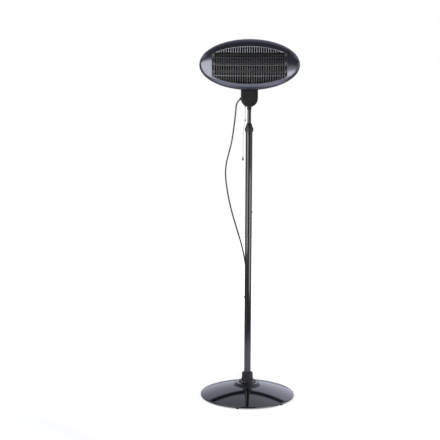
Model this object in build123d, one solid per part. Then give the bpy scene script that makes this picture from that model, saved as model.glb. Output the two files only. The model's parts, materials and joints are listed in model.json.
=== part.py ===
"""Free-standing electric patio heater: domed base, three-piece pole, telescopic mast, tilting quartz head.

Millimetres, +Z up, origin on the floor under the pole. The head faces -Y.
"""

import math
import os

from build123d import *

os.makedirs("parts", exist_ok=True)

# Clearances
RUNNING = 0.1
SNUG = 0.05
SEAT = 0.3

# Base
BASE_DIAMETER = 500
FOOT_HEIGHT = 7
FOOT_DIAMETER = 16
FOOT_COUNT = 6
FOOT_INSET = 12
FOOT_FIRST_ANGLE = 198
FOOT_STEM_DIAMETER = 8
COVER_WALL = 1.5
RIM_HEIGHT = 3
SHOULDER_RADIUS = 5
SHOULDER_SLOPE = 22
DOME_HEIGHT = 52
BOSS_DIAMETER = 154
BOSS_STEP = 15
TRAY_WALL = 2
BALLAST_INSET = 70
BALLAST_HEIGHT = 24
HUB_DIAMETER = 104

# Pole socket and base bolt
SOCKET_HEIGHT = 53
SOCKET_TOP_DIAMETER = 58
SOCKET_FOOT_DIAMETER = 63
SOCKET_FOOT_HEIGHT = 21
FLANGE_DIAMETER = 92
FLANGE_THICKNESS = 3.5
SOCKET_SCREW_COUNT = 4
SOCKET_SCREW_DIAMETER = 4.5
SOCKET_SCREW_LENGTH = 28
SCREW_HEAD_RATIO = 1.8
BOLT_DIAMETER = 8
BOLT_RECESS = 12
BOLT_HEAD_HEIGHT = 5.3
WASHER_DIAMETER = 36
WASHER_THICKNESS = 2.5
FOOT_PLUG_LENGTH = 32

# Pole sections
POLE_DIAMETER = 35
POLE_WALL = 1.2
POLE_LENGTH = 455
POLE_SINK = 24
POLE_END_CHAMFER = 0.6
COUPLER_LENGTH = 100
COUPLER_WALL = 1.6
JOINT_SCREW_DIAMETER = 4
JOINT_SCREW_RISE = 30
JOINT_SCREW_HEAD = 3

# Twist-lock collar
COLLAR_DROP = 6
COLLAR_DIAMETER = 44
COLLAR_GRIP_HEIGHT = 25
COLLAR_CONE_HEIGHT = 22
COLLAR_WAIST_DIAMETER = 34
COLLAR_TOP_DIAMETER = 21.6
COLLAR_RIB_COUNT = 18
COLLAR_RIB_DIAMETER = 2
BUSH_PLUG_LENGTH = 28
BUSH_FLANGE = 3
COLLET_DIAMETER = 28
COLLET_HEIGHT = 21
COLLET_SLIT = 2

# Telescopic mast
TUBE_DIAMETER = 19
TUBE_WALL = 1.2
TUBE_LENGTH = 505
TUBE_EXPOSED = 66.5
TUBE_IN_NECK = 62
GUIDE_LENGTH = 40

# Neck
SLEEVE_HEIGHT = 15
SLEEVE_WALL = 1.2
NECK_WIDTH = 89
NECK_SIDE = 41
NECK_DEPTH = 42
NECK_WALL = 2
NECK_EDGE = 7
VISOR_RISE = 8.5
VISOR_LEAN = 3.8
HINGE_NOTCH_DIAMETER = 26
COLUMN_DIAMETER = 25
COVER_SCREW_DIAMETER = 4
COVER_SCREW_BOSS = 10
COVER_SCREW_BITE = 6
COVER_SCREW_RISE = 12

# Pull switch
PULL_X = -20.8
PULL_Y = -15
SWITCH_WIDTH = 19
SWITCH_DEPTH = 26
SWITCH_HEIGHT = 36
SWITCH_DROP = 1
SWITCH_ROOF = 4
SWITCH_EDGE = 1.5
PLUNGER_DIAMETER = 5
PLUNGER_LENGTH = 38
EYELET_BORE = 3.2
EYELET_DIAMETER = 6
EYELET_FLANGE = 8
EYELET_STAND = 3
EYELET_LIP = 2
STRING_DIAMETER = 2
BEAD_DIAMETER = 7
BEAD_HEIGHT = 8
STRING_VISIBLE = 69
KNOB_HEIGHT = 20
KNOB_TOP_DIAMETER = 4
KNOB_MOUTH_DIAMETER = 9

# Head
HEAD_WIDTH = 514
HEAD_HEIGHT = 258
FACE_DEPTH = 55
BEZEL_WALL = 2
SKIRT_DEPTH = 8
WINDOW_SIDE_BORDER = 65
WINDOW_OVAL_BORDER = 22
WINDOW_TOP_BORDER = 34
WINDOW_CORNER = 8
CREASE_OUTSIDE = 4.4
CREASE_WIDTH = 1.2
CREASE_DEPTH = 0.8
REAR_DEPTH = 62
REAR_WALL = 1.2
BACK_FLAT = 50
VENT_COUNT = 9
VENT_PITCH = 16
VENT_WIDTH = 5
VENT_HEIGHT = 20
VENT_ROW_RISE = 58
HEAD_REST_TILT = 7
HINGE_BEHIND_RIM = 46
HINGE_BELOW_CENTRE = 122
HINGE_ABOVE_NECK = 14

# Grille
FRAME_FRONT = 23
FRAME_THICKNESS = 3
FRAME_OUTSIDE = 5
FRAME_INSIDE = 2
GRILLE_FRONT = 51
WIRE_DIAMETER = 2.4
WIRE_PITCH = 11.9
WIRE_BEND_RADIUS = 5
WIRE_BEND_TOP = 54
WIRE_BEND_BOTTOM = -56
BAR_DIAMETER = 2.8
BAR_HEIGHTS = (38, 1, -52)
WELD_DEPTH = 0.8

# Heating elements
ELEMENT_PITCH = 43
ELEMENT_CENTRE = 9
ELEMENT_BEHIND_RIM = -6
QUARTZ_DIAMETER = 11
QUARTZ_WALL = 1.2
ELEMENT_END_GAP = 6
CORE_DIAMETER = 6
CAP_DIAMETER = 15
CAP_LENGTH = 20
CAP_GRIP = 6
BRACKET_PLATE = 1.5
CHEEK_MARGIN = 17
SHEET_MARGIN = 12
TROUGH_RADIUS = 27
REFLECTOR_SHEET = 0.8
LIP_BEHIND_BEZEL = 11
LIP_FORWARD = 17
TROUGH_FLANK_ANGLE = 62
SHELL_POST_DIAMETER = 8
SHELL_POST_X = 110
TERMINAL_WIDTH = 46
TERMINAL_DEPTH = 13
TERMINAL_HEIGHT = 22
TERMINAL_DROP = 62

# Case screws
CASE_POST_DIAMETER = 10
CASE_POST_END = 20
CASE_SCREW_DIAMETER = 4
CASE_SCREW_LENGTH = 15
CASE_CUP_DIAMETER = 15
CASE_SIDE_INSET = 42
CASE_CORNER_X = 110
CASE_CORNER_INSET = 31

# Tilt hinge
BARREL_DIAMETER = 26
BARREL_LENGTH = 58
FIBRE_WASHER = 1
EAR_THICKNESS = 4
EAR_DIAMETER = 28
SADDLE_THICKNESS = 3
SADDLE_FRONT = 26
SADDLE_BACK = 46
SADDLE_SCREW_DIAMETER = 4
SADDLE_SCREW_LENGTH = 8
SADDLE_SCREW_X = 15
SADDLE_SCREW_STATIONS = (31, 41)
TILT_KNOB_DIAMETER = 20
TILT_KNOB_LENGTH = 20
TILT_KNOB_FLUTES = 6

# Cable and plug
CABLE_DIAMETER = 7.6
GLAND_SLOPE = 46
GLAND_DROP = 1
GLAND_LIP = 0.8
GLAND_LENGTH = 8
GLAND_INSIDE = 7
GLAND_DIAMETER = 12.5
CABLE_FIRST_RUN = 15
PLUG_DIAMETER = 37
PLUG_FACE_LENGTH = 20
PLUG_LENGTH = 55
PIN_DIAMETER = 4.8
PIN_LENGTH = 19
PIN_SPACING = 19

# Heights that follow from the stack
rim_z = FOOT_HEIGHT + RIM_HEIGHT
dome_z = rim_z + DOME_HEIGHT
boss_z = dome_z + BOSS_STEP
ballast_z = FOOT_HEIGHT + TRAY_WALL
pole_foot_z = boss_z - POLE_SINK
seam_z = [pole_foot_z + POLE_LENGTH, pole_foot_z + 2 * POLE_LENGTH]
pole_top_z = pole_foot_z + 3 * POLE_LENGTH
collar_z = pole_top_z - COLLAR_DROP
collar_top_z = collar_z + COLLAR_GRIP_HEIGHT + COLLAR_CONE_HEIGHT
sleeve_z = collar_top_z + TUBE_EXPOSED
neck_z = sleeve_z + SLEEVE_HEIGHT
neck_centre_z = neck_z + NECK_WIDTH / 2
neck_top_z = neck_centre_z + NECK_SIDE
tube_top_z = sleeve_z + TUBE_IN_NECK
hinge_z = neck_top_z + HINGE_ABOVE_NECK

# Radii that fits share
pole_r = POLE_DIAMETER / 2
pole_bore_r = pole_r - POLE_WALL
tube_r = TUBE_DIAMETER / 2
column_r = COLUMN_DIAMETER / 2
base_r = BASE_DIAMETER / 2

# Sizes inside the head that its outline sets
window_width = HEAD_WIDTH - 2 * WINDOW_SIDE_BORDER
window_height = HEAD_HEIGHT - 2 * WINDOW_TOP_BORDER
window_oval_width = HEAD_WIDTH - 2 * WINDOW_OVAL_BORDER
quartz_length = window_width - 2 * ELEMENT_END_GAP
lip_height = window_height / 2 - LIP_BEHIND_BEZEL
case_side_x = HEAD_WIDTH / 2 - CASE_SIDE_INSET
case_corner_z = HEAD_HEIGHT / 2 - CASE_CORNER_INSET
element_heights = [ELEMENT_CENTRE + ELEMENT_PITCH * step for step in (1, 0, -1)]

# The head is drawn upright about its rim centre and hung on the hinge
hinge_place = Pos(0, 0, hinge_z)
head_place = hinge_place * Rot(HEAD_REST_TILT, 0, 0) * Pos(0, -HINGE_BEHIND_RIM, HINGE_BELOW_CENTRE)


def rod(radius, start, end):
    """A round bar along Z between two heights."""
    return Pos(0, 0, start) * Cylinder(radius, end - start, align=(Align.CENTER, Align.CENTER, Align.MIN))


def tube(radius, bore, start, end):
    """A round tube along Z between two heights."""
    return rod(radius, start, end) - rod(bore, start, end)


def cross_rod(radius, start, end):
    """A round bar along X between two stations."""
    return Rot(0, 90, 0) * rod(radius, start, end)


def depth_rod(radius, start, end):
    """A round bar along Y between two stations."""
    return Rot(-90, 0, 0) * rod(radius, start, end)


def turned(points):
    """A solid turned about Z from (radius, height) corners."""
    outline = make_face(Polyline(*points, close=True))
    return revolve(Plane.XZ * outline, Axis.Z)


def pan_screw(diameter, length):
    """A pan-head screw pointing down -Z from its seat at the origin."""
    head_r = diameter * SCREW_HEAD_RATIO / 2
    head = rod(head_r, 0, diameter * 0.6)
    head = fillet(head.edges().group_by(Axis.Z)[-1], diameter * 0.3)
    return head + rod(diameter / 2, -length, 0)


def ellipsoid(half_width, half_depth, half_height):
    """An ellipsoid with its poles on the Y axis."""
    ball = Rot(90, 0, 0) * Sphere(1)
    return scale(ball, by=(half_width, half_depth, half_height))


def slab(start, end, size=1000):
    """Everything between two stations along Y."""
    return Pos(0, (start + end) / 2, 0) * Box(size, end - start, size)


def across(face, start, end):
    """A flat outline in the XZ plane pushed through between two stations along Y."""
    return extrude(Plane.XZ.offset(-start) * face, -(end - start))


# Base


def cover_outline(inset):
    """Half section of the dome, drawn inward by the wall."""
    slope = math.radians(SHOULDER_SLOPE)
    normal = Vector(math.sin(slope), math.cos(slope))
    shoulder = Vector(base_r - SHOULDER_RADIUS, rim_z)
    outer_edge = shoulder + normal * SHOULDER_RADIUS
    boss_r = BOSS_DIAMETER / 2
    chord = Vector(boss_r, dome_z) - outer_edge
    turn = slope - math.atan2(chord.Y, -chord.X)
    dome_radius = chord.length / (2 * math.sin(turn))
    dome = outer_edge - normal * dome_radius
    foot_r = boss_r - inset
    foot_height = dome.Y + math.sqrt((dome_radius - inset) ** 2 - (foot_r - dome.X) ** 2)
    foot_angle = math.degrees(math.atan2(foot_height - dome.Y, foot_r - dome.X))
    top = boss_z - inset
    edge_angle = 90 - SHOULDER_SLOPE
    lines = [
        Line((0, FOOT_HEIGHT), (base_r - inset, FOOT_HEIGHT)),
        Line((base_r - inset, FOOT_HEIGHT), (base_r - inset, rim_z)),
        CenterArc((shoulder.X, shoulder.Y), SHOULDER_RADIUS - inset, 0, edge_angle),
        CenterArc((dome.X, dome.Y), dome_radius - inset, edge_angle, foot_angle - edge_angle),
        Line((foot_r, foot_height), (foot_r - BOSS_STEP, top)),
        Line((foot_r - BOSS_STEP, top), (0, top)),
        Line((0, top), (0, FOOT_HEIGHT)),
    ]
    return make_face(lines)


def base_cover():
    outside = revolve(Plane.XZ * cover_outline(0), Axis.Z)
    inside = revolve(Plane.XZ * cover_outline(COVER_WALL), Axis.Z)
    shell = outside - inside - rod(pole_r + SEAT, 0, boss_z + 1)
    for place in socket_screw_places():
        shell -= place * rod(SOCKET_SCREW_DIAMETER / 2 + RUNNING, -SOCKET_SCREW_LENGTH, 1)
    return shell


def foot_places():
    spot = Pos(base_r - FOOT_INSET, 0, 0)
    step = 360 / FOOT_COUNT
    return [Rot(0, 0, FOOT_FIRST_ANGLE + step * index) * spot for index in range(FOOT_COUNT)]


def base_tray():
    rim_r = base_r - COVER_WALL - SEAT
    tray = rod(rim_r, FOOT_HEIGHT, ballast_z)
    tray += tube(rim_r, rim_r - TRAY_WALL, FOOT_HEIGHT, rim_z)
    tray -= rod(WASHER_DIAMETER / 2 + SEAT, 0, ballast_z)
    for place in foot_places():
        tray -= place * rod(FOOT_STEM_DIAMETER / 2 + SNUG, 0, rim_z)
    return tray


def rubber_feet():
    foot = rod(FOOT_DIAMETER / 2, 0, FOOT_HEIGHT)
    foot = chamfer(foot.edges().group_by(Axis.Z)[0], 1)
    stem = rod(FOOT_STEM_DIAMETER / 2, FOOT_HEIGHT, ballast_z + TRAY_WALL)
    return [place * (foot + stem) for place in foot_places()]


def ballast_disc():
    edge_r = base_r - BALLAST_INSET
    top = ballast_z + BALLAST_HEIGHT
    hub_top = boss_z - COVER_WALL
    hub_r = HUB_DIAMETER / 2
    bevel = BALLAST_HEIGHT / 2
    disc = turned(
        [
            (0, ballast_z),
            (edge_r, ballast_z),
            (edge_r, top - bevel),
            (edge_r - bevel, top),
            (hub_r + bevel, top),
            (hub_r, hub_top),
            (0, hub_top),
        ]
    )
    disc -= rod(pole_r + SEAT, pole_foot_z, boss_z)
    disc -= rod(WASHER_DIAMETER / 2 + SEAT, 0, ballast_z + BOLT_RECESS)
    disc -= rod(BOLT_DIAMETER / 2 + SEAT, 0, boss_z)
    for place in socket_screw_places():
        disc -= place * rod(SOCKET_SCREW_DIAMETER / 2 + SNUG, -SOCKET_SCREW_LENGTH - 1, 1)
    return disc


def base_washer():
    top = ballast_z + BOLT_RECESS
    return tube(WASHER_DIAMETER / 2, BOLT_DIAMETER / 2 + SEAT, top - WASHER_THICKNESS, top)


def base_bolt():
    seat = ballast_z + BOLT_RECESS - WASHER_THICKNESS
    head = extrude(RegularPolygon(BOLT_DIAMETER * 0.8, 6), BOLT_HEAD_HEIGHT)
    head = Pos(0, 0, seat - BOLT_HEAD_HEIGHT) * head
    return head + rod(BOLT_DIAMETER / 2, seat, pole_foot_z + FOOT_PLUG_LENGTH - 4)


def pole_foot_plug():
    plug = rod(pole_bore_r - SNUG, pole_foot_z, pole_foot_z + FOOT_PLUG_LENGTH)
    return plug - rod(BOLT_DIAMETER / 2 + SNUG, 0, boss_z + FOOT_PLUG_LENGTH)


# Pole socket


def socket_screw_places():
    radius = (SOCKET_FOOT_DIAMETER + FLANGE_DIAMETER) / 4
    seat = boss_z + FLANGE_THICKNESS
    step = 360 / SOCKET_SCREW_COUNT
    return [Rot(0, 0, step * (index + 0.5)) * Pos(radius, 0, seat) for index in range(SOCKET_SCREW_COUNT)]


def pole_socket():
    bore = pole_r + RUNNING
    foot_r = SOCKET_FOOT_DIAMETER / 2
    top_r = SOCKET_TOP_DIAMETER / 2
    flange_top = boss_z + FLANGE_THICKNESS
    step = boss_z + SOCKET_FOOT_HEIGHT
    top = boss_z + SOCKET_HEIGHT
    ease = (top_r - bore) / 3
    body = turned(
        [
            (bore, boss_z),
            (FLANGE_DIAMETER / 2, boss_z),
            (FLANGE_DIAMETER / 2, flange_top),
            (foot_r + ease, flange_top),
            (foot_r, flange_top + ease),
            (foot_r, step - ease / 2),
            (foot_r - ease / 2, step),
            (top_r, step),
            (top_r, top - ease),
            (top_r - ease, top),
            (bore, top),
        ]
    )
    for place in socket_screw_places():
        body -= place * rod(SOCKET_SCREW_DIAMETER / 2 + RUNNING, -SOCKET_SCREW_LENGTH, 1)
        body -= place * rod(SOCKET_SCREW_DIAMETER * SCREW_HEAD_RATIO / 2 + SEAT, 0, SOCKET_SCREW_DIAMETER)
    return body


def socket_screws():
    screw = pan_screw(SOCKET_SCREW_DIAMETER, SOCKET_SCREW_LENGTH)
    return [place * screw for place in socket_screw_places()]


# Pole sections


def joint_screw_places():
    """The upper joint is screwed from the right, the lower one from the left."""
    places = []
    for seam, turn in zip(seam_z, (180, 0)):
        side = Rot(0, 0, turn) * Pos(pole_r, 0, seam + JOINT_SCREW_RISE)
        places.append(side * Rot(0, 90, 0))
    return places


def pole_section(index):
    start = pole_foot_z + POLE_LENGTH * index
    section = tube(pole_r, pole_bore_r, start, start + POLE_LENGTH)
    ends = section.edges().filter_by(GeomType.CIRCLE).sort_by(SortBy.RADIUS)[-2:]
    section = chamfer(ends, POLE_END_CHAMFER)
    if index > 0:
        section -= joint_screw_places()[index - 1] * rod(JOINT_SCREW_DIAMETER / 2 + RUNNING, -pole_r, pole_r)
    return section


def pole_coupler(index):
    middle = seam_z[index]
    radius = pole_bore_r - RUNNING
    sleeve = tube(radius, radius - COUPLER_WALL, middle - COUPLER_LENGTH / 2, middle + COUPLER_LENGTH / 2)
    return sleeve - joint_screw_places()[index] * rod(JOINT_SCREW_DIAMETER / 2 + SNUG, -pole_r, pole_r)


def joint_screws():
    reach = POLE_WALL + COUPLER_WALL + JOINT_SCREW_DIAMETER / 2
    head = rod(JOINT_SCREW_DIAMETER, 0, JOINT_SCREW_HEAD)
    head = fillet(head.edges().group_by(Axis.Z)[-1], JOINT_SCREW_HEAD * 0.6)
    screw = head + rod(JOINT_SCREW_DIAMETER / 2, -reach, 0)
    return [place * screw for place in joint_screw_places()]


# Twist lock


def collar_bush():
    bore = tube_r + RUNNING
    flange_top = pole_top_z + BUSH_FLANGE
    collet_top = flange_top + COLLET_HEIGHT
    collet_r = COLLET_DIAMETER / 2
    bush = turned(
        [
            (bore, pole_top_z - BUSH_PLUG_LENGTH),
            (pole_bore_r - SNUG, pole_top_z - BUSH_PLUG_LENGTH),
            (pole_bore_r - SNUG, pole_top_z),
            (pole_r, pole_top_z),
            (pole_r, flange_top),
            (collet_r, flange_top),
            ((collet_r + bore) / 2, collet_top),
            (bore, collet_top),
        ]
    )
    slit = Pos(0, 0, flange_top + COLLET_HEIGHT / 2 + COLLET_SLIT)
    for turn in (0, 90):
        bush -= Rot(0, 0, turn) * slit * Box(COLLET_DIAMETER + 2, COLLET_SLIT, COLLET_HEIGHT)
    return bush


def lock_collar():
    grip_top = collar_z + COLLAR_GRIP_HEIGHT
    grip_r = (COLLAR_DIAMETER - COLLAR_RIB_DIAMETER) / 2
    waist_r = COLLAR_WAIST_DIAMETER / 2
    flange_room = pole_top_z + BUSH_FLANGE + RUNNING
    collet_room = pole_top_z + BUSH_FLANGE + COLLET_HEIGHT + SEAT
    collet_r = COLLET_DIAMETER / 2 + SEAT
    ease = COLLAR_RIB_DIAMETER
    collar = turned(
        [
            (pole_r + SEAT, collar_z),
            (grip_r - ease, collar_z),
            (grip_r, collar_z + ease),
            (grip_r, grip_top - ease),
            (waist_r + ease, grip_top),
            (waist_r, grip_top + ease),
            (waist_r, grip_top + COLLAR_CONE_HEIGHT / 3),
            (COLLAR_TOP_DIAMETER / 2, collar_top_z),
            (tube_r + SEAT, collar_top_z),
            (tube_r + SEAT, collet_room),
            (collet_r, collet_room),
            (collet_r, flange_room),
            (pole_r + SEAT, flange_room),
        ]
    )
    rib = Pos(grip_r, 0, 0) * rod(COLLAR_RIB_DIAMETER / 2, collar_z + 2 * ease, grip_top - 2 * ease)
    for step in range(COLLAR_RIB_COUNT):
        collar += Rot(0, 0, 360 / COLLAR_RIB_COUNT * step) * rib
    return collar


# Mast


def inner_tube():
    return tube(tube_r, tube_r - TUBE_WALL, tube_top_z - TUBE_LENGTH, tube_top_z)


def tube_guide():
    foot = tube_top_z - TUBE_LENGTH
    return tube(pole_bore_r - RUNNING, tube_r + SNUG, foot, foot + GUIDE_LENGTH)


def cover_screw_place(sign):
    """In the middle of the front or rear cover, into the casting's column above the tube."""
    return Pos(0, sign * NECK_DEPTH / 2, tube_top_z + COVER_SCREW_RISE) * Rot(-90 * sign, 0, 0)


def cover_screw_length():
    return NECK_DEPTH / 2 - column_r + COVER_SCREW_BITE


def neck_casting():
    sleeve_r = tube_r + SNUG + SLEEVE_WALL
    casting = turned(
        [
            (0, sleeve_z),
            (sleeve_r, sleeve_z),
            (sleeve_r + SLEEVE_WALL, neck_z),
            (column_r, neck_z + SLEEVE_HEIGHT),
            (column_r, hinge_z),
            (0, hinge_z),
        ]
    )
    casting += Pos(0, 0, hinge_z) * cross_rod(BARREL_DIAMETER / 2, -BARREL_LENGTH / 2, BARREL_LENGTH / 2)
    casting -= rod(tube_r + SNUG, sleeve_z, tube_top_z)
    casting -= Pos(0, 0, hinge_z) * cross_rod(BOLT_DIAMETER / 2 + RUNNING, -BARREL_LENGTH, BARREL_LENGTH)
    for sign in (-1, 1):
        hole = rod(COVER_SCREW_DIAMETER / 2 + SNUG, -cover_screw_length() - SEAT, 0)
        casting -= cover_screw_place(sign) * hole
    return casting


def neck_block(inset, overshoot):
    """The shield-shaped neck with its leaning top, drawn in by the wall and carried past the opening."""
    radius = NECK_WIDTH / 2 - inset
    rise = VISOR_RISE + overshoot
    height = NECK_SIDE + rise
    chin = Circle(radius) - Pos(0, radius / 2) * Rectangle(2 * radius, radius)
    outline = chin + Pos(0, height / 2) * Rectangle(2 * radius, height)
    depth = NECK_DEPTH / 2 - inset
    block = Pos(0, 0, neck_centre_z) * across(outline, -depth, depth)
    outer = [edge for edge in block.edges() if abs(abs(edge.center().Y) - depth) < 0.01]
    rounded = [edge for edge in outer if edge.center().Z < neck_centre_z + height - 0.01]
    block = fillet(rounded, NECK_EDGE - inset)
    lean = VISOR_LEAN * rise / VISOR_RISE
    wedge = make_face(Polyline((depth, 0), (depth, rise), (depth - lean, rise), close=True))
    lean_back = Pos(0, 0, neck_top_z) * extrude(Plane.YZ * wedge, NECK_WIDTH, both=True)
    return block - lean_back - mirror(lean_back, about=Plane.XZ)


def neck_shell():
    shell = neck_block(0, 0) - neck_block(NECK_WALL, NECK_WALL)
    shell -= Pos(0, 0, hinge_z) * cross_rod(HINGE_NOTCH_DIAMETER / 2, -NECK_WIDTH, NECK_WIDTH)
    shell -= rod(column_r + SEAT, sleeve_z, neck_centre_z)
    shell -= gland_place() * rod(GLAND_DIAMETER / 2 + SNUG, -GLAND_INSIDE, GLAND_LENGTH)
    shell -= Pos(PULL_X, PULL_Y, 0) * rod(EYELET_DIAMETER / 2 + SNUG, sleeve_z, neck_centre_z)
    return shell


def neck_cover(sign):
    """The front (-1) or rear (1) half of the neck, with the boss that its screw passes through."""
    depth = NECK_DEPTH
    half = neck_shell() & Pos(0, sign * depth / 2, neck_centre_z) * Box(2 * NECK_WIDTH, depth, 4 * NECK_WIDTH)
    place = cover_screw_place(sign)
    boss = place * rod(COVER_SCREW_BOSS / 2, -NECK_DEPTH / 2, -NECK_WALL / 2)
    half += boss - rod(column_r + SEAT, sleeve_z, hinge_z)
    half -= place * rod(COVER_SCREW_DIAMETER / 2 + RUNNING, -NECK_DEPTH / 2, 0)
    return half - place * rod(COVER_SCREW_DIAMETER * SCREW_HEAD_RATIO / 2 + SEAT, -NECK_WALL / 2, NECK_WALL)


def neck_cover_screws():
    screw = Pos(0, 0, -NECK_WALL / 2) * pan_screw(COVER_SCREW_DIAMETER, cover_screw_length() - NECK_WALL / 2)
    return [cover_screw_place(sign) * screw for sign in (-1, 1)]


def gland_place():
    """On the left side of the neck, pointing down and out."""
    return Pos(-NECK_WIDTH / 2, 0, neck_centre_z - GLAND_DROP) * Rot(0, -90 - GLAND_SLOPE, 0)


def cable_gland():
    tip_r = CABLE_DIAMETER / 2 + GLAND_LIP
    body_r = GLAND_DIAMETER / 2
    root = rod(body_r, -GLAND_INSIDE, 0)
    taper = turned([(0, 0), (body_r, 0), (tip_r, GLAND_LENGTH), (0, GLAND_LENGTH)])
    return gland_place() * (root + taper)


# Pull switch

switch_front_y = -NECK_DEPTH / 2 + NECK_WALL + SEAT
switch_z = neck_centre_z - SWITCH_DROP
plunger_top_z = switch_z + SWITCH_HEIGHT - SWITCH_ROOF
plunger_z = plunger_top_z - PLUNGER_LENGTH
string_exit_z = neck_centre_z - math.sqrt((NECK_WIDTH / 2) ** 2 - PULL_X**2)
bead_top_z = string_exit_z - STRING_VISIBLE
bead_z = bead_top_z - BEAD_HEIGHT

# The lower string swings out past the collar and then hangs straight
STRING_ROUTE = [
    (PULL_X, PULL_Y, bead_z),
    (PULL_X, PULL_Y, bead_z - 7),
    (-24.2, -15.4, 1452),
    (-28.6, -15.9, 1440),
    (-30.7, -16.1, 1422),
    (-31.0, -16.2, 1285),
]


def pull_switch():
    right = -column_r - SEAT
    centre = (right - SWITCH_WIDTH / 2, switch_front_y + SWITCH_DEPTH / 2, switch_z + SWITCH_HEIGHT / 2)
    body = Pos(*centre) * Box(SWITCH_WIDTH, SWITCH_DEPTH, SWITCH_HEIGHT)
    body = fillet(body.edges().filter_by(Axis.Z), SWITCH_EDGE)
    bore = rod(PLUNGER_DIAMETER / 2 + RUNNING, switch_z - 1, plunger_top_z + SEAT)
    return body - Pos(PULL_X, PULL_Y, 0) * bore


def switch_plunger():
    return Pos(PULL_X, PULL_Y, 0) * rod(PLUNGER_DIAMETER / 2, plunger_z, plunger_top_z)


def cord_eyelet():
    top = string_exit_z + NECK_WALL + EYELET_STAND
    mouth = string_exit_z - EYELET_STAND
    eyelet = rod(EYELET_DIAMETER / 2, mouth, top)
    eyelet += rod(EYELET_FLANGE / 2, mouth - EYELET_LIP, mouth)
    eyelet -= rod(EYELET_BORE / 2, mouth - EYELET_LIP, top)
    return Pos(PULL_X, PULL_Y, 0) * eyelet


def pull_string_upper():
    return Pos(PULL_X, PULL_Y, 0) * rod(STRING_DIAMETER / 2, bead_top_z, plunger_z)


def string_bead():
    bead = rod(BEAD_DIAMETER / 2, bead_z, bead_top_z)
    return Pos(PULL_X, PULL_Y, 0) * fillet(bead.edges().filter_by(GeomType.CIRCLE), BEAD_DIAMETER * 0.35)


def route_radii(points):
    """The largest bend that each corner's two runs leave room for."""
    radii = []
    for before, corner, after in zip(points, points[1:], points[2:]):
        one = Vector(*corner) - Vector(*before)
        two = Vector(*after) - Vector(*corner)
        half_turn = math.radians(one.get_angle(two)) / 2
        radii.append(0.45 * min(one.length, two.length) / math.tan(half_turn))
    return radii


def cord_tube(name, points, diameter):
    """A round cord along straight runs joined by tangent arcs."""
    radii = route_radii(points)
    path = FilletPolyline(*points, radius=radii)
    start = Plane(origin=points[0], z_dir=Vector(*points[1]) - Vector(*points[0]))
    cord = sweep(start * Circle(diameter / 2), path=path)
    ideal = math.pi * diameter**2 / 4 * path.length
    print(name, "length", round(path.length, 1), "volume ratio", round(cord.volume / ideal, 5))
    print(name, "radii", [round(radius) for radius in radii])
    return cord


def pull_string_lower():
    return cord_tube("pull_string_lower", STRING_ROUTE, STRING_DIAMETER)


def pull_knob():
    x, y, top = STRING_ROUTE[-1]
    mouth = KNOB_MOUTH_DIAMETER / 2
    neck = KNOB_TOP_DIAMETER / 2
    bell = turned(
        [
            (0, 0),
            (neck, 0),
            (neck + 0.6, -KNOB_HEIGHT * 0.25),
            (mouth * 0.8, -KNOB_HEIGHT * 0.55),
            (mouth, -KNOB_HEIGHT * 0.9),
            (mouth * 0.9, -KNOB_HEIGHT),
            (0, -KNOB_HEIGHT),
        ]
    )
    return Pos(x, y, top) * bell


# Head, drawn upright about its rim centre


def window_outline(grow):
    """The grille opening: an oval cut off upright at both ends."""
    oval = Ellipse(window_oval_width / 2 + grow, window_height / 2 + grow)
    outline = oval & Rectangle(window_width + 2 * grow, window_height * 2)
    return fillet(outline.vertices(), WINDOW_CORNER + grow)


def oval_outline(inset):
    return Ellipse(HEAD_WIDTH / 2 - inset, HEAD_HEIGHT / 2 - inset)


def case_post_spots():
    sides = [(side * case_side_x, 0) for side in (-1, 1)]
    corners = [(side * CASE_CORNER_X, level * case_corner_z) for side in (-1, 1) for level in (-1, 1)]
    return sides + corners


def front_bezel():
    half_width = HEAD_WIDTH / 2
    half_height = HEAD_HEIGHT / 2

    def dome_solid(inset):
        solid = ellipsoid(half_width - inset, FACE_DEPTH - inset, half_height - inset)
        return solid & slab(-FACE_DEPTH, 0)

    outside = dome_solid(0)
    dome = outside - dome_solid(BEZEL_WALL)
    skirt = across(oval_outline(0) - oval_outline(BEZEL_WALL), 0, SKIRT_DEPTH)
    lip = across(window_outline(BEZEL_WALL) - window_outline(0), -FACE_DEPTH, -FRAME_FRONT) & outside
    bezel = dome - across(window_outline(0), -FACE_DEPTH - 1, 0)
    bezel = bezel + skirt + lip
    for x, z in case_post_spots():
        post = Pos(x, 0, z) * depth_rod(CASE_POST_DIAMETER / 2, -FACE_DEPTH, CASE_POST_END)
        bezel += (post & slab(-FACE_DEPTH, 0) & outside) + (post & slab(0, CASE_POST_END))
        hole = depth_rod(CASE_SCREW_DIAMETER / 2 + SNUG, CASE_POST_END - CASE_SCREW_LENGTH, CASE_POST_END + 1)
        bezel -= Pos(x, 0, z) * hole
    skin = outside - dome_solid(CREASE_DEPTH)
    crease_x = window_width / 2 + CREASE_OUTSIDE
    for x in (-crease_x, crease_x):
        bezel -= skin & Pos(x, 0, 0) * Box(CREASE_WIDTH, 2 * FACE_DEPTH, HEAD_HEIGHT)
    return bezel


def oval_reach(distance, half_length, half_width):
    """Half the width of an oval at a distance along its length from the centre."""
    return half_width * math.sqrt(1 - (distance / half_length) ** 2)


def arc_rise(distance, chord_half, rise):
    """How far a circular bow has fallen back at a distance from its crown."""
    radius = (chord_half**2 + rise**2) / (2 * rise)
    return radius - math.sqrt(radius**2 - distance**2)


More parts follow.
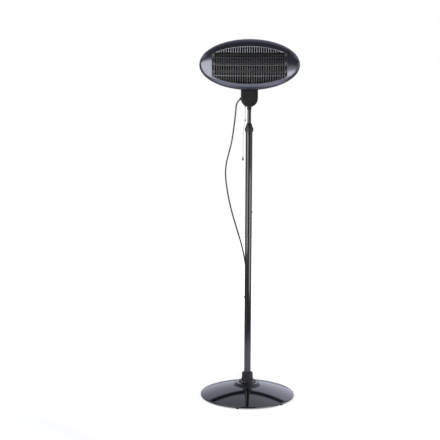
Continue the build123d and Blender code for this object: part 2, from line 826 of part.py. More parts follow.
def front_grille():
    """Upright wires bent back at top and bottom, welded to three bowed cross bars inside a flat frame."""
    half_width = window_width / 2
    half_height = window_height / 2
    oval_half = window_oval_width / 2
    seat = -FRAME_FRONT + FRAME_THICKNESS / 2

    def front(x):
        return -GRILLE_FRONT + arc_rise(x, half_width, GRILLE_FRONT - FRAME_FRONT)

    frame = window_outline(FRAME_OUTSIDE) - window_outline(-FRAME_INSIDE)
    ring = across(frame, -FRAME_FRONT, -FRAME_FRONT + FRAME_THICKNESS)
    wires = []
    steps = int((half_width - WINDOW_CORNER / 2) / WIRE_PITCH)
    for step in range(-steps, steps + 1):
        x = WIRE_PITCH * step
        top = oval_reach(x, oval_half, half_height) - FRAME_INSIDE / 2
        bends = [(x, front(x), WIRE_BEND_TOP), (x, front(x), WIRE_BEND_BOTTOM)]
        path = FilletPolyline((x, seat, top), *bends, (x, seat, -top), radius=WIRE_BEND_RADIUS)
        start = Plane(origin=path @ 0, z_dir=path % 0)
        wires.append(sweep(start * Circle(WIRE_DIAMETER / 2), path=path))
    bars = []
    weld = (WIRE_DIAMETER + BAR_DIAMETER) / 2 - WELD_DEPTH
    for level in BAR_HEIGHTS:
        end = min(half_width, oval_reach(level, half_height, oval_half)) - FRAME_INSIDE / 2
        path = ThreePointArc(*[(x, front(x) + weld, level) for x in (-end, 0, end)])
        start = Plane(origin=path @ 0, z_dir=path % 0)
        bars.append(sweep(start * Circle(BAR_DIAMETER / 2), path=path))
    return ring.fuse(*wires).fuse(*bars)


def rear_solid(inset):
    """The back of the head: a domed pan with a flat floor."""
    width = HEAD_WIDTH / 2 - BEZEL_WALL - SEAT - inset
    height = HEAD_HEIGHT / 2 - BEZEL_WALL - SEAT - inset
    return ellipsoid(width, REAR_DEPTH - inset, height) & slab(0, BACK_FLAT - inset)


def rear_shell():
    outside = rear_solid(0)
    shell = outside - rear_solid(REAR_WALL)
    floor = BACK_FLAT - REAR_WALL
    trough_back = ELEMENT_BEHIND_RIM + TROUGH_RADIUS + REFLECTOR_SHEET + SEAT
    for x in (-SHELL_POST_X, SHELL_POST_X):
        for z in (element_heights[0], element_heights[2]):
            shell += Pos(x, 0, z) * depth_rod(SHELL_POST_DIAMETER / 2, trough_back, floor)
    for x, z in case_post_spots():
        cup = Pos(x, 0, z) * depth_rod(CASE_CUP_DIAMETER / 2, CASE_POST_END, BACK_FLAT)
        shell += cup & outside
        seat = CASE_POST_END + REAR_WALL
        shell -= Pos(x, 0, z) * depth_rod(CASE_CUP_DIAMETER / 2 - REAR_WALL, seat, BACK_FLAT + 1)
        shell -= Pos(x, 0, z) * depth_rod(CASE_SCREW_DIAMETER / 2 + RUNNING, 0, BACK_FLAT)
    slot = across(SlotOverall(VENT_HEIGHT, VENT_WIDTH, rotation=90), BACK_FLAT - 2 * REAR_WALL, BACK_FLAT + 1)
    for row in (-VENT_ROW_RISE / 2, VENT_ROW_RISE / 2):
        for step in range(VENT_COUNT):
            x = VENT_PITCH * (step - (VENT_COUNT - 1) / 2)
            shell -= Pos(x, 0, row) * slot
    for place in saddle_screw_places():
        shell -= place * rod(SADDLE_SCREW_DIAMETER / 2 + SNUG, -SADDLE_SCREW_LENGTH - 1, 1)
    return shell


def case_screws():
    screw = pan_screw(CASE_SCREW_DIAMETER, CASE_SCREW_LENGTH - 2)
    seat = CASE_POST_END + REAR_WALL
    return [Pos(x, seat, z) * Rot(-90, 0, 0) * screw for x, z in case_post_spots()]


def inside_room(margin):
    """The space inside the head that sheet metal may fill."""
    width = HEAD_WIDTH / 2 - margin
    height = HEAD_HEIGHT / 2 - margin
    front = ellipsoid(width, FACE_DEPTH - margin / 2, height) & slab(-FACE_DEPTH, 0)
    return front + rear_solid(margin)


def trough_outline(grow):
    """One side of the reflector sheet: three troughs about the tubes, and a flank to each lip."""
    radius = TROUGH_RADIUS + grow
    cusp = math.degrees(math.asin(ELEMENT_PITCH / 2 / radius))
    flank = TROUGH_FLANK_ANGLE
    top, middle, bottom = element_heights
    depth = ELEMENT_BEHIND_RIM
    back = depth + radius * math.cos(math.radians(flank))
    rise = radius * math.sin(math.radians(flank))
    high = Vector(back, top + rise)
    low = Vector(back, bottom - rise)
    upper_lip = Vector(-LIP_FORWARD, lip_height + grow)
    lower_lip = Vector(-LIP_FORWARD, -lip_height - grow)
    return [
        Line(lower_lip, low),
        CenterArc((depth, bottom), radius, -flank, flank + cusp),
        CenterArc((depth, middle), radius, -cusp, 2 * cusp),
        CenterArc((depth, top), radius, -cusp, cusp + flank),
        Line(high, upper_lip),
    ]


def reflector():
    near = trough_outline(0)
    far = trough_outline(REFLECTOR_SHEET)
    ends = [Line(near[0] @ 0, far[0] @ 0), Line(near[-1] @ 1, far[-1] @ 1)]
    section = make_face(near + far + ends)
    sheet = extrude(Plane.YZ * section, quartz_length / 2, both=True)
    return sheet & inside_room(SHEET_MARGIN)


def quartz_tube(height):
    half = quartz_length / 2
    radius = QUARTZ_DIAMETER / 2
    glass = cross_rod(radius, -half, half) - cross_rod(radius - QUARTZ_WALL, -half, half)
    return Pos(0, ELEMENT_BEHIND_RIM, height) * glass


def heating_core(height):
    """The wound wire, drawn as its outer cylinder, stepped at each end to fit the tube."""
    half = quartz_length / 2
    core = cross_rod(CORE_DIAMETER / 2, -half, half)
    end_r = QUARTZ_DIAMETER / 2 - QUARTZ_WALL - SNUG
    for side in (-1, 1):
        near, far = sorted((side * half, side * (half - CAP_GRIP)))
        core += cross_rod(end_r, near, far)
    return Pos(0, ELEMENT_BEHIND_RIM, height) * core


def ceramic_end_caps():
    """A cap at each end of each tube, with the tube let into its face."""
    inner = quartz_length / 2 - CAP_GRIP
    cap = cross_rod(CAP_DIAMETER / 2, inner, inner + CAP_LENGTH)
    cap -= cross_rod(QUARTZ_DIAMETER / 2 + SNUG, inner - 1, quartz_length / 2)
    caps = []
    for height in element_heights:
        for turn in (0, 180):
            caps.append(Pos(0, ELEMENT_BEHIND_RIM, height) * Rot(0, 0, turn) * cap)
    return caps


def element_bracket(side):
    """A sheet-metal cheek with a hole for each cap, set against the end of the reflector."""
    near = quartz_length / 2 + SEAT
    start, end = sorted((side * near, side * (near + BRACKET_PLATE)))
    back = ELEMENT_BEHIND_RIM + TROUGH_RADIUS
    middle = ((start + end) / 2, (back - LIP_FORWARD) / 2, ELEMENT_CENTRE)
    plate = Pos(*middle) * Box(BRACKET_PLATE, back + LIP_FORWARD, 2 * (ELEMENT_PITCH + CHEEK_MARGIN))
    plate = plate & inside_room(SHEET_MARGIN)
    for height in element_heights:
        hole = cross_rod(CAP_DIAMETER / 2 + SEAT, start - 1, end + 1)
        plate -= Pos(0, ELEMENT_BEHIND_RIM, height) * hole
    return plate


def terminal_block():
    back = BACK_FLAT - REAR_WALL
    middle = (0, back - TERMINAL_DEPTH / 2, -TERMINAL_DROP)
    block = Pos(*middle) * Box(TERMINAL_WIDTH, TERMINAL_DEPTH, TERMINAL_HEIGHT)
    for step in (-1, 0, 1):
        well = Pos(step * TERMINAL_WIDTH / 3.4, middle[1], middle[2])
        block -= well * depth_rod(TERMINAL_DEPTH / 4, -TERMINAL_DEPTH, 0)
    return block


# Tilt hinge, drawn with the head

ear_x = BARREL_LENGTH / 2 + FIBRE_WASHER + 2 * SNUG
saddle_half = ear_x + EAR_THICKNESS


def saddle_screw_places():
    """On the underside of the rear shell, square to its surface."""
    height = HEAD_HEIGHT / 2 - BEZEL_WALL - SEAT
    places = []
    for station in SADDLE_SCREW_STATIONS:
        along = station / REAR_DEPTH
        drop = -height * math.sqrt(1 - along**2)
        normal = Vector(0, station / REAR_DEPTH**2, drop / height**2).normalized()
        seat = Vector(0, station, drop) + normal * SADDLE_THICKNESS
        for x in (-SADDLE_SCREW_X, SADDLE_SCREW_X):
            places.append(Location(Plane(origin=seat + Vector(x, 0, 0), x_dir=(1, 0, 0), z_dir=normal)))
    return places


def tilt_bracket():
    """A saddle under the rear shell with two ears that carry the hinge bolt."""
    hinge = (HINGE_BEHIND_RIM, -HINGE_BELOW_CENTRE)
    pad = rear_solid(-SADDLE_THICKNESS) - rear_solid(-SNUG)
    under = Pos(0, (SADDLE_FRONT + SADDLE_BACK) / 2, -HEAD_HEIGHT / 2)
    bracket = pad & under * Box(2 * saddle_half, SADDLE_BACK - SADDLE_FRONT, HEAD_HEIGHT)
    top = -HEAD_HEIGHT / 4
    web = make_face(Polyline((SADDLE_FRONT, top), (SADDLE_BACK, top), hinge, close=True))
    outline = Pos(*hinge) * Circle(EAR_DIAMETER / 2)
    web = make_hull(outline.edges() + web.edges())
    for side in (-1, 1):
        ear = extrude(Plane.YZ.offset(side * ear_x) * web, side * EAR_THICKNESS)
        ear -= rear_solid(-SNUG)
        bracket += ear & under * Box(HEAD_WIDTH, HEAD_HEIGHT, HEAD_HEIGHT)
    bracket -= Pos(0, *hinge) * cross_rod(BOLT_DIAMETER / 2 + SNUG, -HEAD_WIDTH, HEAD_WIDTH)
    for place in saddle_screw_places():
        bracket -= place * rod(SADDLE_SCREW_DIAMETER / 2 + RUNNING, -SADDLE_SCREW_LENGTH, 1)
        head_r = SADDLE_SCREW_DIAMETER * SCREW_HEAD_RATIO / 2
        bracket -= place * rod(head_r + SEAT, -SEAT, SADDLE_SCREW_LENGTH)
    return bracket


def bracket_screws():
    screw = Pos(0, 0, -SEAT) * pan_screw(SADDLE_SCREW_DIAMETER, SADDLE_SCREW_LENGTH)
    return [place * screw for place in saddle_screw_places()]


def on_hinge(shape):
    """Put a piece drawn about the X axis on the hinge line."""
    return Pos(0, HINGE_BEHIND_RIM, -HINGE_BELOW_CENTRE) * shape


def friction_washers():
    start = BARREL_LENGTH / 2 + SNUG
    ring = cross_rod(BARREL_DIAMETER / 2 - 2, start, start + FIBRE_WASHER)
    ring -= cross_rod(BOLT_DIAMETER / 2 + SNUG, start - 1, start + FIBRE_WASHER + 1)
    return [on_hinge(ring), on_hinge(Rot(0, 0, 180) * ring)]


def tilt_bolt():
    head = Rot(0, 90, 0) * extrude(RegularPolygon(BOLT_DIAMETER * 0.8, 6), BOLT_HEAD_HEIGHT)
    head = Pos(-saddle_half - BOLT_HEAD_HEIGHT, 0, 0) * head
    return on_hinge(head + cross_rod(BOLT_DIAMETER / 2, -saddle_half, saddle_half + TILT_KNOB_LENGTH * 0.7))


def tilt_knob():
    start = saddle_half + SNUG
    knob = cross_rod(TILT_KNOB_DIAMETER / 2, start, start + TILT_KNOB_LENGTH)
    knob = fillet(knob.edges().group_by(Axis.X)[-1], TILT_KNOB_DIAMETER * 0.15)
    flute_r = TILT_KNOB_DIAMETER * 0.14
    flute = cross_rod(flute_r, start + TILT_KNOB_LENGTH * 0.3, start + TILT_KNOB_LENGTH + 1)
    flute = Pos(0, 0, TILT_KNOB_DIAMETER / 2 + flute_r / 2) * flute
    for step in range(TILT_KNOB_FLUTES):
        knob -= Rot(360 / TILT_KNOB_FLUTES * step, 0, 0) * flute
    knob -= cross_rod(BOLT_DIAMETER / 2 + SNUG, start - 1, saddle_half + TILT_KNOB_LENGTH * 0.7 + SEAT)
    return on_hinge(knob)


# Mains cable: out of the neck, a slack bow to the left, down behind the pole and over the back of the base

gland_tip = gland_place() * Pos(0, 0, GLAND_LENGTH)
first_bend = gland_tip * Pos(0, 0, CABLE_FIRST_RUN)
plug_z = PLUG_DIAMETER / 2 + 0.2
CABLE_ROUTE = [
    tuple(gland_tip.position),
    tuple(first_bend.position),
    (-66.8, 0, 1553.3),
    (-69, 0, 1535.4),
    (-71.5, 0.5, 1505),
    (-76, 1, 1463),
    (-82.5, 2, 1412),
    (-91.5, 4, 1353),
    (-105.5, 7, 1300),
    (-118, 11, 1252),
    (-123, 15, 1206),
    (-120.5, 19, 1157),
    (-112.5, 24, 1100),
    (-100, 29, 1035),
    (-83, 34, 968),
    (-62, 39, 900),
    (-40, 43, 828),
    (-21, 46, 750),
    (-9, 48.5, 665),
    (-3, 51, 575),
    (-0.5, 54, 482),
    (0, 58.5, 388),
    (0, 65, 294),
    (0, 75, 208),
    (0, 90, 142),
    (0, 112, 98),
    (0, 142, 66),
    (0, 178, 46),
    (0, 213, 33),
    (0, 243, 24.5),
    (0, 272, plug_z),
    (0, 300, plug_z),
]


def mains_cable():
    return cord_tube("mains_cable", CABLE_ROUTE, CABLE_DIAMETER)


def plug_place():
    x, y, z = CABLE_ROUTE[-1]
    return Pos(x, y, z) * Rot(-90, 0, 0)


def mains_plug():
    """A round two-pin plug with a grip that tapers to the cable."""
    face_r = PLUG_DIAMETER / 2
    grip_r = face_r * 0.62
    shoulder = PLUG_LENGTH - PLUG_FACE_LENGTH
    body = turned(
        [
            (0, 0),
            (CABLE_DIAMETER / 2 + 1.2, 0),
            (CABLE_DIAMETER / 2 + 2.5, shoulder * 0.35),
            (grip_r, shoulder * 0.45),
            (grip_r * 0.92, shoulder * 0.7),
            (face_r - 1.5, shoulder),
            (face_r, shoulder + 1.5),
            (face_r, PLUG_LENGTH - 1),
            (face_r - 1, PLUG_LENGTH),
            (0, PLUG_LENGTH),
        ]
    )
    for turn in (0, 180):
        notch = Pos(face_r, 0, PLUG_LENGTH - PLUG_FACE_LENGTH * 0.4)
        body -= Rot(0, 0, turn) * notch * Box(5, 8, PLUG_FACE_LENGTH * 0.8 + 1)
    for spot in (-PIN_SPACING / 2, PIN_SPACING / 2):
        body -= Pos(0, spot, 0) * rod(PIN_DIAMETER / 2 + SNUG, PLUG_LENGTH - PIN_LENGTH / 2, PLUG_LENGTH + 1)
    return plug_place() * body


def plug_pins():
    pins = []
    for spot in (-PIN_SPACING / 2, PIN_SPACING / 2):
        pin = rod(PIN_DIAMETER / 2, PLUG_LENGTH - PIN_LENGTH / 2, PLUG_LENGTH + PIN_LENGTH)
        pin = fillet(pin.edges().group_by(Axis.Z)[-1], PIN_DIAMETER * 0.3)
        pins.append(plug_place() * Pos(0, spot, 0) * pin)
    return pins


standing = {
    "base_cover": base_cover(),
    "base_tray": base_tray(),
    "ballast_disc": ballast_disc(),
    "rubber_feet": rubber_feet(),
    "base_washer": base_washer(),
    "base_bolt": base_bolt(),
    "pole_foot_plug": pole_foot_plug(),
    "pole_socket": pole_socket(),
    "socket_screws": socket_screws(),
    "lower_pole": pole_section(0),
    "middle_pole": pole_section(1),
    "upper_pole": pole_section(2),
    "lower_coupler": pole_coupler(0),
    "upper_coupler": pole_coupler(1),
    "joint_screws": joint_screws(),
    "collar_bush": collar_bush(),
    "lock_collar": lock_collar(),
    "inner_tube": inner_tube(),
    "tube_guide": tube_guide(),
    "neck_casting": neck_casting(),
    "neck_front_cover": neck_cover(-1),
    "neck_rear_cover": neck_cover(1),
    "neck_cover_screws": neck_cover_screws(),
    "cable_gland": cable_gland(),
    "pull_switch": pull_switch(),
    "switch_plunger": switch_plunger(),
    "cord_eyelet": cord_eyelet(),
    "pull_string_upper": pull_string_upper(),
    "string_bead": string_bead(),
    "pull_string_lower": pull_string_lower(),
    "pull_knob": pull_knob(),
    "mains_cable": mains_cable(),
    "mains_plug": mains_plug(),
    "plug_pins": plug_pins(),
}
tilting = {
    "front_bezel": front_bezel(),
    "front_grille": front_grille(),
    "rear_shell": rear_shell(),
    "case_screws": case_screws(),
    "reflector": reflector(),
    "ceramic_end_caps": ceramic_end_caps(),
    "left_element_bracket": element_bracket(-1),
    "right_element_bracket": element_bracket(1),
    "terminal_block": terminal_block(),
    "tilt_bracket": tilt_bracket(),
    "bracket_screws": bracket_screws(),
    "friction_washers": friction_washers(),
    "tilt_bolt": tilt_bolt(),
    "tilt_knob": tilt_knob(),
}
for name, height in zip(("upper", "middle", "lower"), element_heights):
    tilting[f"{name}_quartz_tube"] = quartz_tube(height)
    tilting[f"{name}_heating_core"] = heating_core(height)


def write_node(name, shape, place):
    solids = shape if isinstance(shape, list) else [shape]
    placed = [place * solid for solid in solids]
    export_step(placed[0] if len(placed) == 1 else Compound(children=placed), f"parts/{name}.step")


for name, shape in standing.items():
    write_node(name, shape, Location())
for name, shape in tilting.items():
    write_node(name, shape, head_place)
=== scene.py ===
"""Looks of a free-standing electric patio heater, built round its CAD frame.

Metres, +Z up, origin on the floor under the pole, the heating face looks along -Y.
"""

import json
import math

import bmesh
import bpy
from bpy.props import FloatProperty, FloatVectorProperty, PointerProperty
from mathutils import Matrix, Vector


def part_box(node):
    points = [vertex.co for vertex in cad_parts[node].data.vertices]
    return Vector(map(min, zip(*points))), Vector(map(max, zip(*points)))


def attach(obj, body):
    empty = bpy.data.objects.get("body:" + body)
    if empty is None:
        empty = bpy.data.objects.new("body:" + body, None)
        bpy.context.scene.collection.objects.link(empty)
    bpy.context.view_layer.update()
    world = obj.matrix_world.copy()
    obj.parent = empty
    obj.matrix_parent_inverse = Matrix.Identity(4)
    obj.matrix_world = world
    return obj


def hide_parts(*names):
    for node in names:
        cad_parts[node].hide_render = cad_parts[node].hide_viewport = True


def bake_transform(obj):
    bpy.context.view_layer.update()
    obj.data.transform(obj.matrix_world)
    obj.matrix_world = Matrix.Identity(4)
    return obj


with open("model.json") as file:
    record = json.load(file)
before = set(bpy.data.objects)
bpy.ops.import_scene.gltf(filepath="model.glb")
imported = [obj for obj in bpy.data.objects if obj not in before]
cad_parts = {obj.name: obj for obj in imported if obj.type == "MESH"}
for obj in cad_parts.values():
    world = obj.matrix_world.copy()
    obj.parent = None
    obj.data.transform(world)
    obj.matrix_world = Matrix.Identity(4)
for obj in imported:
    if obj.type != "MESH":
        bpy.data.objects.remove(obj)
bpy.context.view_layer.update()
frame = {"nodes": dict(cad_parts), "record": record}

bl_info = {
    "name": "Patio heater looks",
    "version": (1, 0, 0),
    "blender": (4, 5, 0),
    "location": "View3D > Sidebar > Heater",
    "description": "Dresses the CAD frame of a quartz patio heater and sets it on a studio floor",
    "category": "Object",
}

# The lead: out of the gland, a slack bow to the left, down behind the pole and over the back of the base
LEAD_ROUTE = [
    (-0.05006, 0, 1.57825),
    (-0.06048, 0, 1.56746),
    (-0.0668, 0, 1.5533),
    (-0.069, 0, 1.5354),
    (-0.0715, 0.0005, 1.505),
    (-0.076, 0.001, 1.463),
    (-0.0825, 0.002, 1.412),
    (-0.0915, 0.004, 1.353),
    (-0.1055, 0.007, 1.300),
    (-0.118, 0.011, 1.252),
    (-0.123, 0.015, 1.206),
    (-0.1205, 0.019, 1.157),
    (-0.1125, 0.024, 1.100),
    (-0.100, 0.029, 1.035),
    (-0.083, 0.034, 0.968),
    (-0.062, 0.039, 0.900),
    (-0.040, 0.043, 0.828),
    (-0.021, 0.046, 0.750),
    (-0.009, 0.0485, 0.665),
    (-0.003, 0.051, 0.575),
    (-0.0005, 0.054, 0.482),
    (0, 0.0585, 0.388),
    (0, 0.065, 0.294),
    (0, 0.075, 0.208),
    (0, 0.090, 0.142),
    (0, 0.112, 0.098),
    (0, 0.142, 0.066),
    (0, 0.178, 0.046),
    (0, 0.213, 0.033),
    (0, 0.243, 0.0245),
    (0, 0.272, 0.0187),
    (0, 0.300, 0.0187),
]

# The pull cord: straight down from the switch to the bead, then past the collar to the bell knob
PULL_TOP_ROUTE = [(-0.0208, -0.015, 1.578), (-0.0208, -0.015, 1.527), (-0.0208, -0.015, 1.47666)]
PULL_TAIL_ROUTE = [
    (-0.0208, -0.015, 1.46866),
    (-0.0208, -0.015, 1.46166),
    (-0.0242, -0.0154, 1.452),
    (-0.0286, -0.0159, 1.440),
    (-0.0307, -0.0161, 1.422),
    (-0.0310, -0.0162, 1.285),
]

# The sweep and the floor look a little cool in polished faces
SWEEP_TINT = (0.92, 0.95, 1.13, 1)
# What polished faces see of the studio: angle in degrees up from the horizon behind, and grey level
SWEEP_BANDS = [
    (0, 0.12),
    (0.8, 0.93),
    (37.5, 0.93),
    (39.5, 0.03),
    (44, 0.03),
    (46, 0.9),
    (62, 0.8),
    (70, 0.65),
    (95, 0.55),
    (112, 0.12),
    (180, 0.1),
]
# Grey level of the studio on matt faces
ROOM_LIGHT = 0.3

# Handling marks and uneven gloss come about this far apart, in millimetres
SMUDGE = 55
# Up along the face of the head, which leans forward at rest
HEAD_LEAN = math.radians(7)
HEAD_UP = (0, -math.sin(HEAD_LEAN), math.cos(HEAD_LEAN))
# Along that way: below this height the grille wire is painted in grey shade, darker towards the upper
# tubes; above it the bright plated tone is a painted highlight on the top slant
SHADE_PAINTED_BELOW = 1.8115
SHADE_PAINTED_EDGE = 0.003
SHADE_DEEPENS_SPAN = (1.735, 1.785)
PAINTED_SHADE_TONES = ("7e7c7c", "4a4949")
HEATING_WIRE = "5a5048"
# Straight steps in one turn of a heating coil
COIL_STEPS = 12
METAL = ("Metallic", 1.0)


def linear(code):
    """An sRGB hex colour as linear red, green and blue."""
    values = [int(code[start : start + 2], 16) / 255 for start in (0, 2, 4)]
    return tuple(v / 12.92 if v <= 0.04045 else ((v + 0.055) / 1.055) ** 2.4 for v in values)


def shade(tone, share):
    return tuple(value * share for value in tone)


def colour(title, code, words):
    """A colour that a user may change."""
    tone = linear(code)
    return FloatVectorProperty(name=title, description=words, subtype="COLOR", min=0, max=1, default=tone)


def metres(title, words, value):
    """A length that a user may change."""
    return FloatProperty(name=title, description=words, default=value, unit="LENGTH")


def degrees(title, words, value):
    """An angle that a user may change."""
    return FloatProperty(name=title, description=words, default=math.radians(value), subtype="ANGLE")


class HeaterColours(bpy.types.PropertyGroup):
    """Colours that a maker would offer."""

    enamel: colour("Base enamel", "0a0a10", "Gloss enamel of the domed base")
    pole: colour("Pole paint", "0c0c0e", "Paint of the pole sections and the inner tube")
    head: colour("Head paint", "6a6b74", "Metallic paint of the bezel and rear shell")
    plastic: colour("Black mouldings", "141416", "Socket, collar, bead, knobs and plug")
    neck: colour("Neck mouldings", "0d0d0f", "Covers and casting of the neck")
    white: colour("White mouldings", "e8e6e0", "Pull switch and its plunger")
    cord: colour("Pull cord", "b4b2ac", "Braided pull cord")
    rubber: colour("Cable and feet", "131314", "Cable sheath, gland and feet")
    wire: colour("Grille wire", "f4f5fa", "Plated wire of the grille")
    # The reflector's near-black tone is painted shade for the recess behind the tubes
    reflector: colour("Reflector", "303136", "Sheet behind the tubes, darkened by heat")
    # The quartz's dark tone is painted shade for the tubes behind the grille
    quartz: colour("Quartz", "2e2a27", "Smoky quartz of the tubes")
    # The ceramic's grey-beige, darker than steatite's own off-white, is painted shade for the caps in the
    # head
    ceramic: colour("Ceramic", "a8a298", "End caps and terminal block")
    zinc: colour("Zinc plate", "b4b6ba", "Plated bolts, brackets and couplers")
    floor: colour("Floor", "f2f2f2", "Studio floor")


class HeaterSizes(bpy.types.PropertyGroup):
    """Sizes of the pieces made here."""

    lead: metres("Lead", "Diameter of the mains lead", 0.0076)
    pull: metres("Pull cord", "Diameter of the pull cord", 0.002)
    coil: metres("Coil", "Outer diameter of a heating coil", 0.006)
    coil_wire: metres("Coil wire", "Diameter of the heating wire", 0.0009)
    coil_pitch: metres("Coil pitch", "Step from turn to turn", 0.0036)
    floor: metres("Floor", "Radius of the studio floor", 6.0)


class HeaterCamera(bpy.types.PropertyGroup):
    """Where the photograph was taken from."""

    distance: metres("Distance", "In front of the pole", 5.02)
    height: metres("Height", "Above the floor", 1.569)
    lens: FloatProperty(name="Lens", description="Focal length in millimetres", default=78.6)
    pitch: degrees("Pitch", "Downwards", 7.035)
    yaw: degrees("Yaw", "To the left", 1.71)
    roll: degrees("Roll", "Anticlockwise", 0.22)


def add(tree, kind, settings, links):
    """Add one node. Lower-case settings are its properties, the rest input values. Links feed inputs."""
    made = tree.nodes.new("ShaderNode" + kind)
    for name, value in settings.items():
        if isinstance(name, str) and name[0].islower():
            setattr(made, name, value)
        else:
            made.inputs[name].default_value = value
    for name, output in links.items():
        tree.links.new(output, made.inputs[name])
    return made


def surface(name, tone, hollow_shade, grain, relief, rough, stretch=(1, 1, 1), sockets=()):
    """A material with one grain for tone and relief and broad smudges for gloss, sizes in millimetres.

    The tone drops to the share hollow_shade of itself in the hollows of the grain: partly the grain's own
    tone, partly a painted shade in its hollows.
    """
    material = bpy.data.materials.new(name)
    material.use_nodes = True
    tree = material.node_tree
    shader = tree.nodes["Principled BSDF"]
    for socket, value in sockets:
        shader.inputs[socket].default_value = value
    place = add(tree, "TexCoord", {}, {}).outputs["Object"]
    drawn = add(tree, "Mapping", {"Scale": stretch}, {"Vector": place}).outputs["Vector"]
    fine = {"Scale": 1000 / grain, "Detail": 3.0}
    grit = add(tree, "TexNoise", fine, {"Vector": drawn}).outputs["Fac"]
    broad = {"Scale": 1000 / SMUDGE, "Detail": 4.0}
    smudge = add(tree, "TexNoise", broad, {"Vector": drawn}).outputs["Fac"]
    # Painted shade: the tone darkens where the bump's grain is low
    ends = {"data_type": "RGBA", 6: (*shade(tone, hollow_shade), 1), 7: (*tone, 1)}
    mottle = add(tree, "Mix", ends, {0: grit}).outputs[2]
    span = {"From Min": 0.3, "From Max": 0.7, "To Min": rough[0], "To Max": rough[1]}
    gloss = add(tree, "MapRange", span, {"Value": smudge}).outputs["Result"]
    bump = add(tree, "Bump", {"Distance": relief / 1000}, {"Height": grit}).outputs["Normal"]
    tree.links.new(mottle, shader.inputs["Base Color"])
    tree.links.new(gloss, shader.inputs["Roughness"])
    tree.links.new(bump, shader.inputs["Normal"])
    return material


def wear(piece, material):
    piece.data.materials.clear()
    piece.data.materials.append(material)


def new_piece(name, mesh_source):
    """An object at the origin with the bmesh as its mesh."""
    mesh = bpy.data.meshes.new(name)
    mesh_source.to_mesh(mesh)
    mesh_source.free()
    piece = bpy.data.objects.new(name, mesh)
    bpy.context.scene.collection.objects.link(piece)
    return piece


def cord_piece(name, route, diameter):
    """A tube along the NURBS line that the route's points control, and the points of that line."""
    curve = bpy.data.curves.new(name + "_line", "CURVE")
    curve.dimensions = "3D"
    curve.resolution_u = 12
    spline = curve.splines.new("NURBS")
    spline.points.add(len(route) - 1)
    for point, spot in zip(spline.points, route):
        point.co = (*spot, 1)
    spline.order_u = 3
    spline.use_endpoint_u = True
    line = bpy.data.objects.new(name + "_line", curve)
    bpy.context.scene.collection.objects.link(line)
    bare = bpy.data.meshes.new_from_object(line.evaluated_get(bpy.context.evaluated_depsgraph_get()))
    path = [vertex.co.copy() for vertex in bare.vertices]
    curve.bevel_depth = diameter / 2
    curve.bevel_resolution = 3
    curve.use_fill_caps = True
    bpy.context.view_layer.update()
    mesh = bpy.data.meshes.new_from_object(line.evaluated_get(bpy.context.evaluated_depsgraph_get()))
    mesh.name = name
    piece = bpy.data.objects.new(name, mesh)
    bpy.context.scene.collection.objects.link(piece)
    bpy.data.objects.remove(line)
    for face in mesh.polygons:
        face.use_smooth = True
    return piece, path


def studio_cast(tree, ray):
    """White to the camera, a little cool in polished faces."""
    tints = {"data_type": "RGBA", 6: SWEEP_TINT, 7: (1, 1, 1, 1)}
    return add(tree, "Mix", tints, {0: ray["Is Camera Ray"]}).outputs[2]


